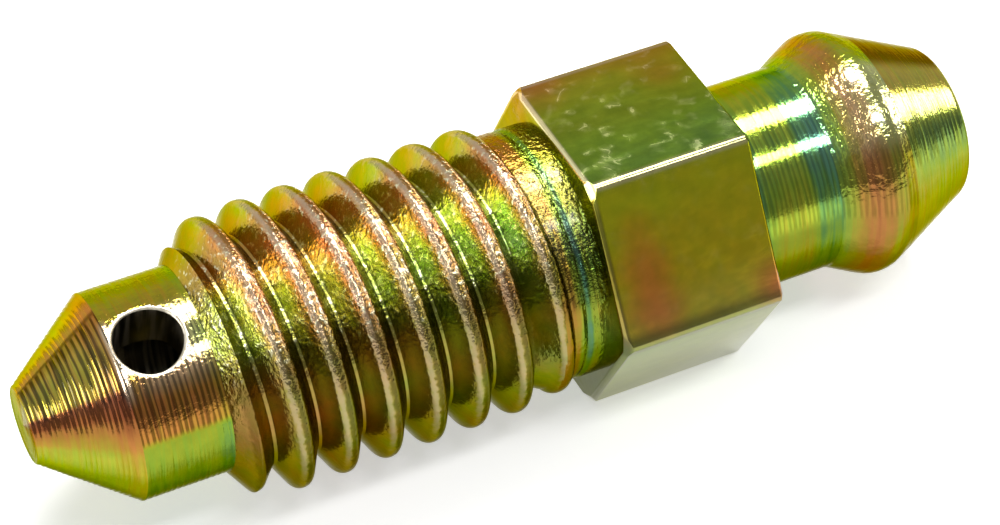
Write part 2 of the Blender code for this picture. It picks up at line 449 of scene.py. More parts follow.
# The soft boxes' shine stands on a band of the screw's upper front. Fades are written here and
# below as start and end, then low and high unless those are 0 and 1. They go by degrees from
# the top, by millimetres or by noise.
SHINE_START = (1, 12)
SHINE_END = (56, 42)
STREAK_TONE = 0.08
STREAK_ROUGHNESS = 0.08
SMOOTHEST = 0.09
RIB_EDGE = 4
PAINTED_GROOVE_SHADE = (-1.2, 0.45)
PALE_RING_CORE = 0.4
DEEP_GRAIN = 0.05 * MM
COAT_GAPS = (0.42, 0.52)
GRAIN_COAT_ROUGHNESS = 0.10
GRAIN_ROUND = (80, 60, 0.25, 1.0)


def turned_finish(
    name, tones_round, painted_shades_round, tones_along, painted_groove_zone, ring_depth, grain, wear_and_highlight_rings,
    bare, shine, spread=0.08,
):
    """A turned and plated surface.

    Its film's tones and painted shades go by degrees from the top, and a shift of tone by
    millimetres from the tip: the painted shades darken and lighten the film for how the light
    falls on each side. The groove zone is (from, to, strength) in degrees, where the rings get
    painted shade in their grooves and painted light between them. Grain is its scale and depth,
    the pale rings are (place, half width, strength) of bare zinc shown only in the soft boxes'
    shine band, partly wear and partly a painted highlight, bare is the wear all over, and shine
    is the weight of the clear coat.
    """
    finish, tree, metal, place = start_finish(name)
    at = locate(tree, place)
    lines = use_group(tree, rings, {"Place": place})
    first, last = tones_along[0][0], tones_along[-1][0]
    along_share = scaled(tree, at.along, 1 / (last - first), -first / (last - first))
    shifts = [((x - first) / (last - first), shift + 0.5) for x, shift in tones_along]
    tone = math_node(
        tree, "ADD", ramp_round(tree, at.turn_share, tones_round), ramp(tree, along_share, shifts)
    )
    tone = scaled(tree, lines["Streak"], STREAK_TONE, math_node(tree, "SUBTRACT", tone, 0.5))

    # Painted shade in the rings' grooves and painted light on the ridges between them, only within
    # a band of degrees, and painted shade and light by degrees from the top.
    ribs_from, ribs_to, rib_contrast = painted_groove_zone
    painted_groove_strength = product(
        tree,
        fade(tree, at.degrees, ribs_from, ribs_from + RIB_EDGE, 0.0, rib_contrast),
        fade(tree, at.degrees, ribs_to, ribs_to - RIB_EDGE),
    )
    painted_groove_shade = scaled(tree, lines["Grooves"], *PAINTED_GROOVE_SHADE)
    shade = ramp_round(tree, at.turn_share, painted_shades_round)
    shade = product(tree, shade, scaled(tree, painted_groove_shade, painted_groove_strength, 1.0))

    in_shine = product(
        tree, fade(tree, at.degrees, *SHINE_START), fade(tree, at.degrees, *SHINE_END)
    )
    # Pale rings of bare zinc shown only in the shine band: partly wear, partly painted highlight.
    # Bare zinc all over is wear.
    wear_and_highlight = 0.0
    for middle, half_width, strength in wear_and_highlight_rings:
        away = distance(tree, at.along, middle)
        wear_and_highlight_ring = fade(tree, away, half_width, half_width * PALE_RING_CORE, 0.0, strength)
        wear_and_highlight = math_node(tree, "MAXIMUM", wear_and_highlight, wear_and_highlight_ring)
    wear_and_highlight = scaled(tree, in_shine, wear_and_highlight, bare)
    inputs = {"Place": place, "Tone": tone, "Spread": spread, "Shade": shade, "Wear and Highlight": wear_and_highlight}
    tree.links.new(use_group(tree, film, inputs)["Color"], metal["Base Color"])
    rough = scaled(tree, lines["Streak"], STREAK_ROUGHNESS, SMOOTHEST)
    tree.links.new(rough, metal["Roughness"])

    grain_scale, grain_depth = grain
    pits = use_group(tree, tumbled, {"Place": place, "Grains": grain_scale})["Height"]
    patchy = min(1.0, grain_depth / DEEP_GRAIN)
    unbroken = fade(tree, pits, *COAT_GAPS, (1 - patchy) * shine, shine)
    tree.links.new(product(tree, in_shine, unbroken), metal["Coat Weight"])
    metal["Coat Roughness"].default_value = COAT_ROUGHNESS + GRAIN_COAT_ROUGHNESS * patchy
    grain_height = product(tree, pits, fade(tree, at.degrees, *GRAIN_ROUND))
    ringed = bump(tree, lines["Height"], ring_depth)
    tree.links.new(bump(tree, grain_height, grain_depth, ringed), metal["Normal"])
    return finish


cone_finish = turned_finish(
    "cone_finish",
    tones_round=[
        (-180, 0.30), (-60, 0.30), (-30, 0.42), (-12, 0.56), (20, 0.45), (42, 0.50), (47, 0.84),
        (57, 0.80), (62, 0.64), (76, 0.50), (84, 0.36), (110, 0.28), (140, 0.15), (180, 0.30),
    ],
    painted_shades_round=[
        (-180, 0.80), (-9, 1.10), (-6, 0.36), (-3, 0.54), (30, 0.48), (41, 0.54), (46, 0.38),
        (58, 0.50), (64, 0.51), (100, 0.78), (180, 0.70),
    ],
    tones_along=[(0, 0.0), (1.5, 0.0), (2.2, 0.13), (2.4, 0.13)],
    painted_groove_zone=(-6, 50, 0.85),
    ring_depth=0.028 * MM,
    grain=(9.0, 0.004 * MM),
    wear_and_highlight_rings=[(2.36, 0.16, 0.8)],
    bare=0.07,
    shine=0.35,
    spread=0.06,
)
nose_finish = turned_finish(
    "nose_finish",
    tones_round=[
        (-180, 0.30), (-60, 0.30), (-20, 0.40), (0, 0.50), (14, 0.52), (28, 0.36), (44, 0.60),
        (60, 0.68), (73, 0.62), (79, 0.28), (98, 0.25), (120, 0.12), (145, 0.05), (180, 0.30),
    ],
    painted_shades_round=[
        (-180, 0.80), (0, 0.90), (40, 0.90), (50, 0.56), (74, 0.50), (80, 0.53), (110, 0.50),
        (180, 0.70),
    ],
    tones_along=[(2.3, 0.0), (4.2, 0.0), (4.7, -0.12)],
    painted_groove_zone=(4, 78, 0.70),
    ring_depth=0.034 * MM,
    grain=(6.0, 0.020 * MM),
    wear_and_highlight_rings=[(2.36, 0.16, 0.8), (3.7, 1.3, 0.45)],
    bare=0.05,
    shine=1.0,
    spread=0.06,
)
shank_finish = turned_finish(
    "shank_finish",
    tones_round=[
        (-180, 0.30), (-60, 0.45), (-10, 0.46), (15, 0.34), (50, 0.30), (80, 0.34), (180, 0.30),
    ],
    painted_shades_round=[
        (-180, 0.80), (0, 0.70), (36, 0.50), (46, 0.25), (70, 0.28), (78, 0.45), (110, 0.43),
        (180, 0.80),
    ],
    tones_along=[
        (13.0, 0.25), (14.2, 0.20), (14.42, -0.10), (14.6, -0.28), (14.75, -0.04), (15.2, -0.08),
    ],
    painted_groove_zone=(40, 75, 0.50),
    ring_depth=0.010 * MM,
    grain=(7.0, 0.070 * MM),
    wear_and_highlight_rings=[(14.4, 1.5, 0.10)],
    bare=0.08,
    shine=0.6,
    spread=0.15,
)
neck_finish = turned_finish(
    "neck_finish",
    tones_round=[
        (-180, 0.30), (-60, 0.30), (-15, 0.36), (5, 0.28), (28, 0.23), (48, 0.26), (75, 0.34),
        (95, 0.36), (130, 0.26), (180, 0.30),
    ],
    painted_shades_round=[
        (-180, 0.80), (0, 0.90), (30, 0.80), (48, 0.76), (72, 0.68), (84, 0.38), (120, 0.36),
        (180, 0.80),
    ],
    tones_along=[
        (19.8, -0.28), (20.2, -0.20), (20.7, 0.0), (21.6, 0.0), (22.0, -0.22), (22.7, -0.24),
    ],
    painted_groove_zone=(20, 80, 0.28),
    ring_depth=0.013 * MM,
    grain=(9.0, 0.004 * MM),
    wear_and_highlight_rings=[],
    bare=0.06,
    shine=0.45,
)
bulge_finish = turned_finish(
    "bulge_finish",
    tones_round=[
        (-180, 0.45), (-60, 0.40), (-12, 0.42), (15, 0.34), (42, 0.34), (54, 0.44), (80, 0.48),
        (120, 0.47), (180, 0.45),
    ],
    painted_shades_round=[
        (-180, 0.80), (-10, 0.95), (38, 1.00), (52, 0.60), (75, 0.46), (88, 0.44), (130, 0.44),
        (180, 0.80),
    ],
    tones_along=[
        (22.6, -0.30), (22.95, -0.12), (23.15, 0.08), (23.5, 0.22), (23.8, 0.14), (24.05, -0.05),
        (24.9, -0.06),
    ],
    painted_groove_zone=(48, 84, 0.25),
    ring_depth=0.014 * MM,
    grain=(4.0, 0.050 * MM),
    wear_and_highlight_rings=[(24.1, 1.2, 0.30)],
    bare=0.10,
    shine=1.0,
)
taper_finish = turned_finish(
    "taper_finish",
    tones_round=[
        (-180, 0.40), (-60, 0.60), (-5, 0.58), (12, 0.44), (35, 0.40), (50, 0.14), (64, 0.18),
        (78, 0.34), (110, 0.34), (140, 0.42), (180, 0.40),
    ],
    painted_shades_round=[
        (-180, 0.60), (-10, 0.40), (2, 0.38), (12, 0.90), (40, 0.80), (52, 0.55), (66, 0.57),
        (80, 0.54), (180, 0.56),
    ],
    tones_along=[(24.6, 0.10), (24.9, 0.04), (25.3, 0.0), (26.4, 0.0), (27.1, 0.02)],
    painted_groove_zone=(34, 66, 0.35),
    ring_depth=0.014 * MM,
    grain=(8.0, 0.006 * MM),
    wear_and_highlight_rings=[],
    bare=0.16,
    shine=0.32,
    spread=0.06,
)

# Rolled thread, M8 x 1.25, right-hand. Flat dies press it into the steel of the blank, so its
# crests are round and full and its roots narrow. It rises out of the start chamfer over a turn
# and a half and runs out on the shank over the last part of a turn.

THREAD_RADIUS = 3.90 * MM
ROOT_RADIUS = 3.12 * MM
PITCH = 1.25 * MM
CREST_WIDTH = 0.30 * MM
CREST_ROUNDING = 0.24 * MM
ROOT_WIDTH = 0.10 * MM
ROOT_ROUNDING = 0.07 * MM
THREAD_ARC_STEP = math.radians(13)
CREST_AT_TOP = NOSE_END + PITCH * 5 / 360
RISE_START = NOSE_END - 0.61 * MM
RISE_TURNS = 1.6
RISE_FROM = 0.15
RUN_OUT_TURNS = 0.70
RUN_OUT_TO = 0.45
THREAD_TURNS = 10
CHAMFER_CLEARANCE = 0.3 * MM
CHAMFER_SKIM = 0.003 * MM
CHAMFER_BODY = 3 * MM

half_foot = (PITCH - ROOT_WIDTH) / 2
thread_outline = rounded(
    [
        (-PITCH / 2, ROOT_RADIUS, 0),
        (-half_foot, ROOT_RADIUS, ROOT_ROUNDING),
        (-CREST_WIDTH / 2, THREAD_RADIUS, CREST_ROUNDING),
        (CREST_WIDTH / 2, THREAD_RADIUS, CREST_ROUNDING),
        (half_foot, ROOT_RADIUS, ROOT_ROUNDING),
        (PITCH / 2, ROOT_RADIUS, 0),
    ],
    THREAD_ARC_STEP,
)
first_crest = CREST_AT_TOP - PITCH
first_turn = [point + Vector((first_crest, 0)) for point in thread_outline]
thread = draw_outline("rolled_thread", first_turn)
winding = thread.modifiers.new("winding", "SCREW")
winding.axis = "X"
winding.angle = 2 * math.pi
winding.screw_offset = PITCH
winding.iterations = THREAD_TURNS
winding.steps = TURN_STEPS
winding.render_steps = TURN_STEPS
winding.use_merge_vertices = False
bpy.ops.object.modifier_apply(modifier=winding.name)

# Each point's height over the root is scaled by how far its crest has risen or run out.
last_crest = THREAD_END + RUN_OUT_TURNS * PITCH
for point in thread.data.vertices:
    radius = math.hypot(point.co.y, point.co.z)
    if radius <= ROOT_RADIUS:
        continue
    turned_by = (math.atan2(point.co.z, point.co.y) - math.pi / 2) / (2 * math.pi)
    whole_turns = round((point.co.x - first_crest) / PITCH - turned_by)
    crest = first_crest + (whole_turns + turned_by) * PITCH
    rise = RISE_FROM + (1 - RISE_FROM) * (crest - RISE_START) / PITCH / RISE_TURNS
    fall = RUN_OUT_TO + (1 - RUN_OUT_TO) * (last_crest - crest) / PITCH / RUN_OUT_TURNS
    height = max(0, min(1, rise, fall))
    scale = (ROOT_RADIUS + (radius - ROOT_RADIUS) * height) / radius
    point.co.y *= scale
    point.co.z *= scale

# Both open ends of the winding are closed by faces that meet in one point.
close_and_face_outward(thread)
bpy.ops.object.mode_set(mode="EDIT")
for end in (-1, 1):
    bpy.ops.mesh.select_all(action="DESELECT")
    bpy.ops.object.mode_set(mode="OBJECT")
    middle = sum(point.co.x for point in thread.data.vertices) / len(thread.data.vertices)
    face_counts = {}
    for face in thread.data.polygons:
        for key in face.edge_keys:
            face_counts[key] = face_counts.get(key, 0) + 1
    for edge in thread.data.edges:
        along = sum(thread.data.vertices[v].co.x for v in edge.vertices) / 2
        is_open = face_counts[tuple(sorted(edge.vertices))] == 1
        edge.select = is_open and (along - middle) * end > 0
    bpy.ops.object.mode_set(mode="EDIT")
    bpy.ops.mesh.select_mode(type="EDGE")
    bpy.ops.mesh.extrude_region_move(TRANSFORM_OT_translate={"value": (0, 0, 0)})
    bpy.ops.mesh.merge(type="CENTER")
bpy.ops.object.mode_set(mode="OBJECT")
close_and_face_outward(thread)

inner_reach = NOSE_RADIUS - CHAMFER_CLEARANCE
outer_reach = THREAD_RADIUS + CHAMFER_CLEARANCE
chamfer_end = NOSE_END + (outer_reach - NOSE_RADIUS) / math.tan(START_CHAMFER)
thread_limit = turn_outline(
    "start_chamfer",
    [
        Vector((NOSE_END - CHAMFER_BODY, 0)),
        Vector((NOSE_END - CHAMFER_BODY, inner_reach)),
        Vector((NOSE_END - CHAMFER_CLEARANCE, inner_reach)),
        Vector((NOSE_END, NOSE_RADIUS - CHAMFER_SKIM)),
        Vector((chamfer_end, outer_reach)),
        Vector((HEX_END, outer_reach)),
        Vector((HEX_END, 0)),
    ],
)


def combine(piece, other, operation):
    """Joins another closed shape to the piece, or cuts it away, and removes that shape."""
    bpy.ops.object.select_all(action="DESELECT")
    bpy.context.view_layer.objects.active = piece
    step = piece.modifiers.new(other.name, "BOOLEAN")
    step.operation = operation
    step.solver = "MANIFOLD"
    step.object = other
    bpy.ops.object.modifier_apply(modifier=step.name)
    bpy.data.objects.remove(other)


combine(thread, thread_limit, "INTERSECT")
combine(screw, thread, "UNION")


def radius_at(tree, place):
    """The distance from the screw's axis in millimetres."""
    across = stretched(tree, place, (0, 1, 1))
    node = add_node(tree, "ShaderNodeVectorMath", {0: across}, operation="LENGTH")
    return node.outputs["Value"]


# The thread's finish: grainy roots darkened with painted shade, brighter flanks and thin, rubbed,
# rose-coloured crests, with painted glints and painted highlights in the upper front.
THREAD_SPREAD = 0.22
THREAD_GRAINS = 7.0
CREST_RADII = (3.45, 3.82)
UNDERSIDE = (46, 62)
ROOTS_ALONG = (7.0, 12.5, 0.04, -0.08)
CREST_TONES = (
    (-180, 0.50), (-61.2, 0.38), (-25.2, 0.42), (-7.2, 0.70), (21.6, 0.70), (57.6, 0.54),
    (90, 0.46), (180, 0.50),
)
ROOT_TONES = (
    (-180, 0.40), (-50.4, 0.46), (-7.2, 0.56), (36, 0.36), (79.2, 0.50), (180, 0.40),
)
# Painted shade and painted light by degrees from the top.
THREAD_PAINTED_SHADES = (
    (-180, 0.75), (-60, 0.84), (-15, 0.92), (8, 0.94), (20, 0.86), (40, 0.79), (52, 0.56),
    (72, 0.54), (90, 0.52), (130, 0.56), (180, 0.75),
)
thread_finish, tree, metal, place = start_finish("thread_finish")
at = locate(tree, place)
radius = radius_at(tree, place)
pits = use_group(tree, tumbled, {"Place": place, "Grains": THREAD_GRAINS})
crest = fade(tree, radius, *CREST_RADII)
below = fade(tree, at.degrees, *UNDERSIDE)
crest_tone = ramp_round(tree, at.turn_share, CREST_TONES)
root_tone = ramp_round(tree, at.turn_share, ROOT_TONES)
root_tone = math_node(tree, "ADD", root_tone, fade(tree, at.along, *ROOTS_ALONG))
inputs = {"Factor": crest, 2: root_tone, 3: crest_tone}
tone = add_node(tree, "ShaderNodeMix", inputs, data_type="FLOAT").outputs[0]

# The dies leave a shallow seam along the middle of each crest, between two rubbed edges. It is
# placed by the millimetres from the crest's middle, which the grain makes waver.
SEAM_AT = 0.13
SEAM_WIDTH = (0.09, 0.03)
SEAM_WAVER = 0.20
LEFT_EDGE_AT = -0.03
LEFT_EDGE_WEAR_AND_HIGHLIGHT = (0.10, 0.03, 0.0, 0.30)
SHOULDER_START = (0.02, 0.14)
SHOULDER_END = (0.55, 0.42)
turns_along = scaled(tree, at.along, MM / PITCH, 0.5 - CREST_AT_TOP / PITCH)
turns_past = scaled(tree, at.angle, -1 / (2 * math.pi), turns_along)
from_crest = scaled(tree, math_node(tree, "FRACT", turns_past), PITCH / MM, -PITCH / MM / 2)
from_crest = scaled(tree, pits["Height"], SEAM_WAVER, from_crest)
seam = product(tree, fade(tree, distance(tree, from_crest, SEAM_AT), *SEAM_WIDTH), crest)
# Each crest's left edge is pale: partly rubbed, partly a painted highlight line.
edge_away = distance(tree, from_crest, LEFT_EDGE_AT)
left_edge = product(tree, fade(tree, edge_away, *LEFT_EDGE_WEAR_AND_HIGHLIGHT), crest)
# Painted shade on each crest's right shoulder on the underside, where it mirrors the dim room.
shoulder = product(
    tree,
    fade(tree, from_crest, *SHOULDER_START),
    fade(tree, from_crest, *SHOULDER_END),
    below,
)

# Painted shade: the roots are darker than the crests, and painted shade and painted light go by
# degrees from the top. On the underside the roots get painted light and the crests painted shade.
PAINTED_SHADE_BY_RADIUS = (3.05, 3.7, 0.75, 0.9583)
SEAM_SHADE = -0.30
SHOULDER_SHADE = -0.40
ROOTS_BELOW = 0.16
CRESTS_BELOW = -0.22
painted_crest_shade_below = product(tree, crest, below, CRESTS_BELOW)
painted_light_and_shade_below = scaled(tree, below, ROOTS_BELOW, math_node(tree, "ADD", painted_crest_shade_below, 1.0))
shade = product(
    tree,
    ramp_round(tree, at.turn_share, THREAD_PAINTED_SHADES),
    fade(tree, radius, *PAINTED_SHADE_BY_RADIUS),
    scaled(tree, seam, SEAM_SHADE, 1.0),
    scaled(tree, shoulder, SHOULDER_SHADE, 1.0),
    painted_light_and_shade_below,
)

# The crests are rubbed, paler toward the top: partly wear, partly painted highlight. Pits in the
# upper front get painted glints.
CREST_WEAR = (3.83, 3.91, 0.0, 0.36)
WEAR_AND_HIGHLIGHT_ROUND = (58, 38, 0.15, 1.0)
THREAD_BARE = 0.17
GLINTS_START = (-28, 0)
GLINTS_END = (62, 44, 0.0, 0.9)
PAINTED_GLINT_COLOUR = (0.86, 0.84, 0.58, 1)
rubbed_and_highlit = product(
    tree,
    fade(tree, radius, *CREST_WEAR),
    fade(tree, at.degrees, *WEAR_AND_HIGHLIGHT_ROUND),
    math_node(tree, "SUBTRACT", 1.0, seam),
)
rubbed_and_highlit = math_node(tree, "ADD", math_node(tree, "ADD", rubbed_and_highlit, left_edge), THREAD_BARE)
inputs = {"Place": place, "Tone": tone, "Spread": THREAD_SPREAD, "Shade": shade, "Wear and Highlight": rubbed_and_highlit}
colour = use_group(tree, film, inputs)["Color"]
# Painted glints: the pits in the upper front are mixed toward a pale colour.
painted_glints = product(
    tree,
    pits["Pits"],
    fade(tree, at.degrees, *GLINTS_START),
    fade(tree, at.degrees, *GLINTS_END),
)
tree.links.new(mix_colours(tree, painted_glints, colour, PAINTED_GLINT_COLOUR), metal["Base Color"])

# The grain breaks the clear coat up, and is deepest where the soft boxes' shine stands.
THREAD_ROUGHNESS = (0.20, 0.06)
THREAD_COAT_ROUGHNESS = 0.14
THREAD_SHINE_START = (-4, 12)
THREAD_COAT_GAPS = (0.42, 0.54, 0.10, 1.0)
SEAM_COAT = -0.45
SEAM_BUMP = -0.16
THREAD_GRAIN_DEPTH = 0.11 * MM
GRAIN_FROM_TOP = (-4, 12, 0.25, 1.0)
GRAIN_TO_BELOW = (70, 50, 0.25, 1.0)
GRAIN_BY_RADIUS = (3.5, 3.8, 0.40, 0.70)
coated = product(
    tree,
    fade(tree, at.degrees, *THREAD_SHINE_START),
    fade(tree, at.degrees, *SHINE_END),
    fade(tree, pits["Height"], *THREAD_COAT_GAPS),
    scaled(tree, seam, SEAM_COAT, 1.0),
)
tree.links.new(coated, metal["Coat Weight"])
metal["Coat Roughness"].default_value = THREAD_COAT_ROUGHNESS
tree.links.new(scaled(tree, pits["Height"], *THREAD_ROUGHNESS), metal["Roughness"])
pit_height = product(
    tree,
    pits["Height"],
    fade(tree, at.degrees, *GRAIN_FROM_TOP),
    fade(tree, at.degrees, *GRAIN_TO_BELOW),
    fade(tree, radius, *GRAIN_BY_RADIUS),
)
pit_height = scaled(tree, seam, SEAM_BUMP, pit_height)
tree.links.new(bump(tree, pit_height, THREAD_GRAIN_DEPTH), metal["Normal"])

# Spanner hexagon. It is what is left of the cold-drawn steel bar, plated like the rest, with crisp
# but slightly rounded long edges and a fine turned edge at both ends. It fits an 8 mm spanner.

HEX_ACROSS_FLATS = 7.92 * MM
HEX_EDGE_ROUNDING = 0.11 * MM
HEX_EDGE_STEPS = 4
HEX_CHAMFER = math.radians(36.0)
HEX_CHAMFER_RADII = (4.29 * MM, 4.42 * MM)
HEX_CLEAR_RADIUS = 5.0 * MM

bpy.ops.object.select_all(action="DESELECT")
bpy.ops.mesh.primitive_cylinder_add(
    vertices=6,
    radius=HEX_ACROSS_FLATS / 2 / math.cos(math.radians(30)),
    depth=HEX_END - HEX_START,
    location=(hex_middle, 0, 0),
    rotation=(0, math.radians(90), 0),
)
hexagon = bpy.context.object
hexagon.name = "spanner_hexagon"
bpy.ops.object.transform_apply(location=True, rotation=True, scale=True)
bpy.ops.object.mode_set(mode="EDIT")
bpy.ops.mesh.select_all(action="SELECT")
bpy.ops.mesh.bevel(offset=HEX_EDGE_ROUNDING, segments=HEX_EDGE_STEPS, affect="EDGES")
bpy.ops.object.mode_set(mode="OBJECT")
close_and_face_outward(hexagon)
left_radius, right_radius = HEX_CHAMFER_RADII
slope = math.tan(HEX_CHAMFER)
end_chamfers = turn_outline(
    "hexagon_end_chamfers",
    [
        Vector((HEX_START - left_radius * slope, 0)),
        Vector((HEX_START + (HEX_CLEAR_RADIUS - left_radius) * slope, HEX_CLEAR_RADIUS)),
        Vector((HEX_END - (HEX_CLEAR_RADIUS - right_radius) * slope, HEX_CLEAR_RADIUS)),
        Vector((HEX_END + right_radius * slope, 0)),
    ],
)
combine(hexagon, end_chamfers, "INTERSECT")
combine(screw, hexagon, "UNION")

# Handling marks: short pale scuffs, in soft smears, where screws have rubbed on each other.
SCUFFS_PER_MM, SCUFF_BENDS = 0.9, 0.8
SCRATCH_WIDTH = (0.030, 0.0)
SMEAR_WIDTH = (0.120, 0.0, 0.0, 0.5)
PATCHES_PER_MM = 2.1
PATCH_NOISE = (0.47, 0.64)
marks, marks_in, marks_out = blank_group(
    "handling_marks", {"Place": None}, {"Scuffs": "NodeSocketFloat"}
)
scuff_noise = noise(marks, marks_in["Place"], SCUFFS_PER_MM, detail=3.0, distortion=SCUFF_BENDS)
scuff_away = distance(marks, scuff_noise, 0.5)
scratch = fade(marks, scuff_away, *SCRATCH_WIDTH)
smear = fade(marks, scuff_away, *SMEAR_WIDTH)
patch_noise = noise(marks, marks_in["Place"], PATCHES_PER_MM, detail=2.0)
patch = fade(marks, patch_noise, *PATCH_NOISE)
scuffed_there = product(marks, math_node(marks, "MAXIMUM", scratch, smear), patch)
marks.links.new(scuffed_there, marks_out.inputs["Scuffs"])

# The hexagon's finish: drawn flats with a mottled film, painted shade and painted light by
# degrees from the top, pale scuffs, and edges that are partly rubbed and partly painted
# highlights. The spots are (place from the tip, reach, shift of tone) where the film turns to
# orange or gold.
HEX_SPREAD = 0.05
FLAT_TONES = (
    (-180, 0.40), (-60, 0.45), (-29, 0.56), (-20, 0.44), (-5, 0.34), (14, 0.24), (27, 0.20),
    (33, 0.42), (60, 0.48), (86, 0.48), (94, 0.30), (150, 0.36), (180, 0.40),
)
# Painted shade and painted light by degrees from the top, darkest along the front flat's lower
# edge.
FLAT_PAINTED_SHADES = (
    (-180, 0.80), (-45, 0.70), (-26, 0.72), (0, 0.60), (16, 0.60), (27, 0.57), (34, 1.04),
    (84, 1.03), (88, 0.40), (92, 0.40), (96, 0.77), (180, 0.85),
)
FILM_SPOTS = (
    ((16.15, -3.05, 2.65), 0.9, 0.12),
    ((16.2, -3.6, 1.7), 1.1, 0.22),
    ((16.25, -4.15, 0.75), 1.2, 0.25),
    ((19.8, -4.25, 0.4), 1.1, 0.26),
    ((15.6, 2.0, 3.9), 1.2, 0.14),
    ((18.9, 1.0, 3.9), 1.2, 0.12),
)
hexagon_finish, tree, metal, place = start_finish("hexagon_finish")
at = locate(tree, place)
tone = ramp_round(tree, at.turn_share, FLAT_TONES)
for spot, reach, shift in FILM_SPOTS:
    inputs = {0: place, 1: spot}
    away = add_node(tree, "ShaderNodeVectorMath", inputs, operation="DISTANCE").outputs["Value"]
    tone = math_node(tree, "ADD", tone, fade(tree, away, reach, 0.0, 0.0, shift))

# The left end's edge and the long edges are pale bare zinc, most on the top flat's side: partly
# wear, partly painted highlight. On the top side the left end's edge also gets a painted
# highlight. The front flat starts about 0.55 radians from the top, and its own left edge gets
# painted shade.
FLAT_WAYS = ((0, 0.0, 1.0), (0, 0.866, 0.5), (0, -0.866, 0.5))
RIM = (3.80, 3.87, 0.42, 1.0)
LONG_EDGE = (4.47, 4.53, 0.0, 0.5)
LEFT_EDGE_X = 15.2
LEFT_EDGE = (0.12, 0.04, 0.0, 0.6)
EDGES_ROUND = (0.60, 0.53, 0.20, 1.0)
EDGE_HIGHLIGHT_WIDTH, EDGE_HIGHLIGHT_ROUND = (0.10, 0.05), (0.62, 0.5, 0.0, 1.25)
EDGE_SHADE_WIDTH, EDGE_SHADE_ROUND = (0.16, 0.06), (0.55, 0.70, 0.0, 0.5)
long_edge = fade(tree, radius_at(tree, place), *LONG_EDGE)
left_away = distance(tree, at.along, LEFT_EDGE_X)
from_middle = 0.0
for flat_way in FLAT_WAYS:
    inputs = {0: place, 1: flat_way}
    toward_flat = add_node(tree, "ShaderNodeVectorMath", inputs, operation="DOT_PRODUCT")
    flat_away = math_node(tree, "ABSOLUTE", toward_flat.outputs["Value"])
    from_middle = math_node(tree, "MAXIMUM", from_middle, flat_away)
at_rim = fade(tree, from_middle, *RIM)
left_edge = product(tree, fade(tree, left_away, *LEFT_EDGE), at_rim)
edges = math_node(tree, "MAXIMUM", long_edge, left_edge)
edges = product(tree, edges, fade(tree, at.angle, *EDGES_ROUND))
painted_edge_highlight = product(
    tree, fade(tree, left_away, *EDGE_HIGHLIGHT_WIDTH), fade(tree, at.angle, *EDGE_HIGHLIGHT_ROUND), at_rim
)
painted_edge_shade = product(
    tree, fade(tree, at.angle, *EDGE_SHADE_ROUND), fade(tree, left_away, *EDGE_SHADE_WIDTH)
)

SCUFFS_ROUND = (0.5, 0.6, 0.36, 0.04)
BARE_ROUND = (0.5, 0.6, 0.06, 0.0)
scuffs = use_group(tree, marks, {"Place": place})["Scuffs"]
scuffed = product(tree, scuffs, fade(tree, at.angle, *SCUFFS_ROUND))
wear_and_highlight = math_node(tree, "MAXIMUM", scuffed, edges)
wear_and_highlight = math_node(tree, "ADD", wear_and_highlight, fade(tree, at.angle, *BARE_ROUND))
shade = ramp_round(tree, at.turn_share, FLAT_PAINTED_SHADES)
shade = product(tree, shade, math_node(tree, "SUBTRACT", 1.0, painted_edge_shade))
shade = math_node(tree, "MAXIMUM", shade, painted_edge_highlight)
inputs = {"Place": place, "Tone": tone, "Spread": HEX_SPREAD, "Shade": shade, "Wear and Highlight": wear_and_highlight}
tree.links.new(use_group(tree, film, inputs)["Color"], metal["Base Color"])

# Only the lower front flat shines, and the grain is drawn out along the bar.
LOWER_FLAT_ANGLE = 2.1
LOWER_FLAT_COAT = (0.6, 0.9)
DRAWN_STRETCH = (0.4, 1.0, 1.0)
HEX_GRAINS = 3.0
HEX_GRAIN_DEPTH = 0.006 * MM
HEX_ROUGHNESS = (0.20, 0.08)
SCUFF_ROUGHNESS = 0.5
from_lower_flat = math_node(tree, "SUBTRACT", at.angle, LOWER_FLAT_ANGLE)
coated = fade(tree, math_node(tree, "COSINE", from_lower_flat), *LOWER_FLAT_COAT)
tree.links.new(coated, metal["Coat Weight"])
drawn = stretched(tree, place, DRAWN_STRETCH)
drawn_grain = use_group(tree, tumbled, {"Place": drawn, "Grains": HEX_GRAINS})["Height"]
rough = scaled(tree, scuffed, SCUFF_ROUGHNESS, scaled(tree, drawn_grain, *HEX_ROUGHNESS))
tree.links.new(rough, metal["Roughness"])
tree.links.new(bump(tree, drawn_grain, HEX_GRAIN_DEPTH), metal["Normal"])

# Drillings. A blind bore comes in from the nipple's end and meets one cross hole in the nose,
# which lets the brake fluid out. Their walls are drilled steel that got little of the plating,
# and tumbling has rounded the holes' mouths a little.

BORE_RADIUS = 1.20 * MM
BORE_MOUTH_CHAMFER = 0.12 * MM
DRILL_POINT = math.radians(59.0)
CROSS_HOLE_RADIUS = 0.90 * MM
CROSS_HOLE_AT = 3.30 * MM
CROSS_HOLE_ANGLE = math.radians(22.0)
MOUTH_ROUNDING = 0.11 * MM
MOUTH_STEPS = 5
HOLE_STEPS = 96
RING_STEP = 0.01 * MM

bore_bottom = CROSS_HOLE_AT - CROSS_HOLE_RADIUS
bore = turn_outline(
    "axial_bore",
    [
        Vector((bore_bottom - BORE_RADIUS / math.tan(DRILL_POINT), 0)),
        Vector((bore_bottom, BORE_RADIUS)),
        Vector((NIPPLE_END - BORE_MOUTH_CHAMFER, BORE_RADIUS)),
        Vector((NIPPLE_END + BORE_MOUTH_CHAMFER, BORE_RADIUS + 2 * BORE_MOUTH_CHAMFER)),
        Vector((NIPPLE_END + MM, BORE_RADIUS + 2 * BORE_MOUTH_CHAMFER)),
        Vector((NIPPLE_END + MM, 0)),
    ],
    HOLE_STEPS,
)
combine(screw, bore, "DIFFERENCE")

